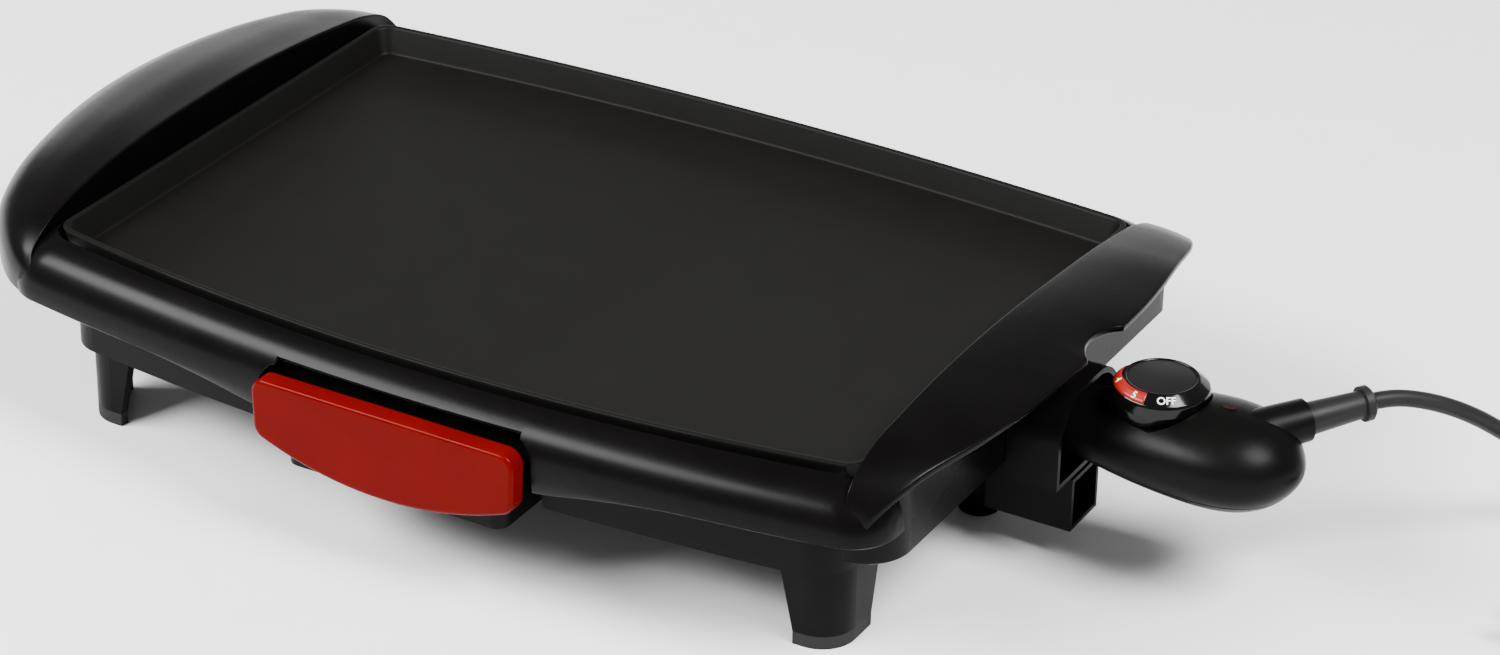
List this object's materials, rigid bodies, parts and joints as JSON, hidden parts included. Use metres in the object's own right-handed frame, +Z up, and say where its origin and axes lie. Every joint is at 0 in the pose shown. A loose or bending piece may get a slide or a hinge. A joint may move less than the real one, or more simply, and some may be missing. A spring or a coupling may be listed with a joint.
{
  "type": "electric griddle",
  "caption": "Table-top electric griddle with a non-stick plate, a pull-out drip drawer and a plug-in thermostat controller on a mains lead.",
  "frame": {"origin": "bottom centre of the object's box, measured without the lead, its coil and its plug", "axes": "+X along the griddle towards the thermostat controller, -Y to the front with the drip drawer, +Z up"},
  "size_m": [0.7965, 0.3292, 0.1073],
  "materials": {
    "nonstick_plate": "cast aluminium with a fine-grained dark non-stick coating",
    "element_steel": "heat-tinted sheathed element",
    "sheet_steel": "plain sheet steel",
    "ceramic_block": "unglazed steatite",
    "plated_pins": "nickel plated",
    "aluminised_sheet": "thin bright sheet",
    "gloss_black": "polished black moulding",
    "satin_black": "black moulding with a satin sheen",
    "matte_black": "fine spark-eroded black moulding",
    "foot_rubber": "soft dark rubber",
    "zinc_steel": "zinc plated steel",
    "gloss_red": "polished red moulding",
    "lamp_lens": "smoked tinted lens, lamp off",
    "lamp_glass": "clear neon lamp",
    "gloss_black_knob": "polished black knob",
    "dial_print": "black disc printed with a red arc and white numerals",
    "brass": "plain brass",
    "probe_steel": "drawn stainless tube",
    "wire_red": "heat-proof sleeved wire",
    "cord_rubber": "black flexible lead",
    "plug_rubber": "moulded black plug"
  },
  "bodies": {
    "griddle": {"upper_housing": "gloss_black", "cooking_plate": "nonstick_plate", "heating_element": "element_steel", "element_clamps": "sheet_steel", "terminal_block": "ceramic_block", "terminal_pins": "plated_pins", "probe_sleeve": "sheet_steel", "heat_reflector": "aluminised_sheet", "lower_chassis": "satin_black", "foot_pads": "foot_rubber", "centre_foot": "satin_black", "socket_hood": "satin_black", "plate_screws": "zinc_steel", "housing_screws": "zinc_steel"},
    "drip_drawer": {"drip_tray": "satin_black", "drawer_front": "gloss_red", "drawer_screws": "zinc_steel"},
    "controller": {"controller_upper_shell": "matte_black", "controller_lower_shell": "matte_black", "controller_screws": "zinc_steel", "pilot_lens": "lamp_lens", "pilot_lamp": "lamp_glass", "spindle_bush": "brass", "thermostat_body": "ceramic_block", "bimetal_switch": "brass", "temperature_probe": "probe_steel", "probe_clip": "brass", "receptacles": "brass", "inner_wires": "wire_red", "cord_clamp": "matte_black", "strain_relief": "cord_rubber", "mains_cord": "cord_rubber", "mains_cord_tail": "cord_rubber", "mains_cord_coil": "cord_rubber", "mains_plug": "plug_rubber", "plug_pins": "plated_pins"},
    "knob": {"control_knob": "gloss_black_knob", "dial_disc": "dial_print", "thermostat_spindle": "zinc_steel"}
  },
  "joints": [
    {"name": "drawer_slide", "type": "slide", "parent": "griddle", "child": "drip_drawer", "axis": [0, -1, 0], "range_m": [0, 0.11]},
    {"name": "controller_plug", "type": "slide", "parent": "griddle", "child": "controller", "axis": [1, 0, 0], "range_m": [0, 0.06]},
    {"name": "knob_turn", "type": "hinge", "parent": "controller", "child": "knob", "pos_m": [0.23769, 0.01185, 0.087], "axis": [0, 0, -1], "range_deg": [0, 285]}
  ]
}
